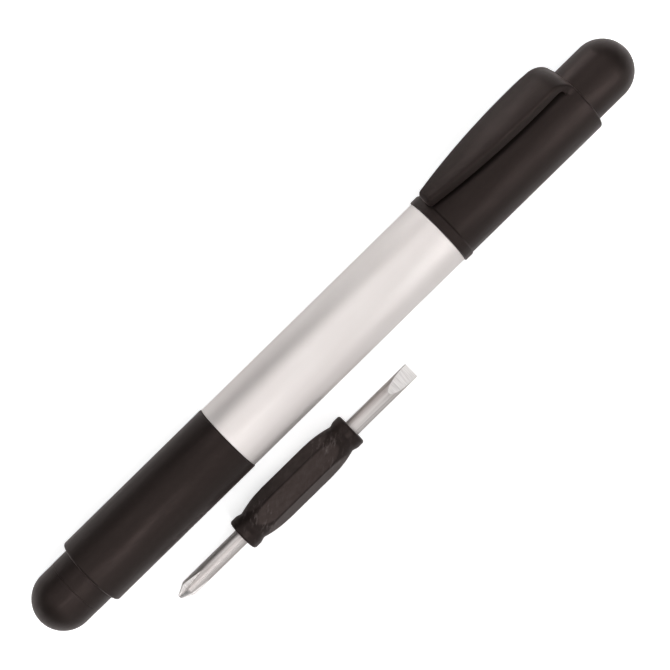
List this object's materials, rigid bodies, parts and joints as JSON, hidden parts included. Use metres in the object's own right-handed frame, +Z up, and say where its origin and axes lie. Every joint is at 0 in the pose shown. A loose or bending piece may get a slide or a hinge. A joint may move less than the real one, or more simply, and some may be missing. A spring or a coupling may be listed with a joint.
{
  "type": "pocket screwdriver",
  "caption": "Pen-shaped pocket screwdriver with an aluminium barrel, black pull-off end caps, a pocket clip and reversible bits with a flat and a cross blade on a hexagonal grip.",
  "frame": {"origin": "middle of the barrel's length, on the pen's axis", "axes": "+X along the pen towards the clip end, +Z up from the table it lies on, +Y to the clip's side"},
  "size_m": [0.1496, 0.0292, 0.0169],
  "materials": {
    "tube_aluminium": "satin anodised, clear",
    "socket_plastic": "moulded, matte",
    "cap_plastic": "moulded, matte warm black",
    "grip_plastic": "moulded, semi-matte black",
    "blade_steel": "drawn and polished"
  },
  "bodies": {
    "barrel": {"barrel_tube": "tube_aluminium", "front_socket": "socket_plastic", "rear_socket": "socket_plastic"},
    "stored_bit": {"stored_bit_grip": "grip_plastic", "stored_bit_blade": "blade_steel"},
    "front_cap": {"front_cap_sleeve": "cap_plastic", "front_cap_liner": "cap_plastic", "front_cap_dome": "cap_plastic"},
    "rear_cap": {"rear_cap_sleeve": "cap_plastic", "rear_cap_liner": "cap_plastic", "rear_cap_dome": "cap_plastic"},
    "pocket_clip": {"pocket_clip": "cap_plastic"},
    "loose_bit": {"loose_bit_grip": "grip_plastic", "loose_bit_blade": "blade_steel"}
  },
  "joints": [
    {"name": "stored_bit_pull", "type": "slide", "parent": "barrel", "child": "stored_bit", "axis": [-1, 0, 0], "range_m": [0, 0.032]},
    {"name": "front_cap_pull", "type": "slide", "parent": "stored_bit", "child": "front_cap", "axis": [-1, 0, 0], "range_m": [0, 0.042]},
    {"name": "rear_cap_pull", "type": "slide", "parent": "barrel", "child": "rear_cap", "axis": [1, 0, 0], "range_m": [0, 0.042]},
    {"name": "clip_flex", "type": "hinge", "parent": "rear_cap", "child": "pocket_clip", "pos_m": [0.0608, 0.00485, 0.00444], "axis": [0, 0.6756, -0.7373], "range_deg": [0, 4], "stiffness_Nm_per_rad": 0.6},
    {"name": "loose_bit_lift", "type": "slide", "parent": "barrel", "child": "loose_bit", "axis": [0, 0, 1], "range_m": [0, 0.03]}
  ]
}
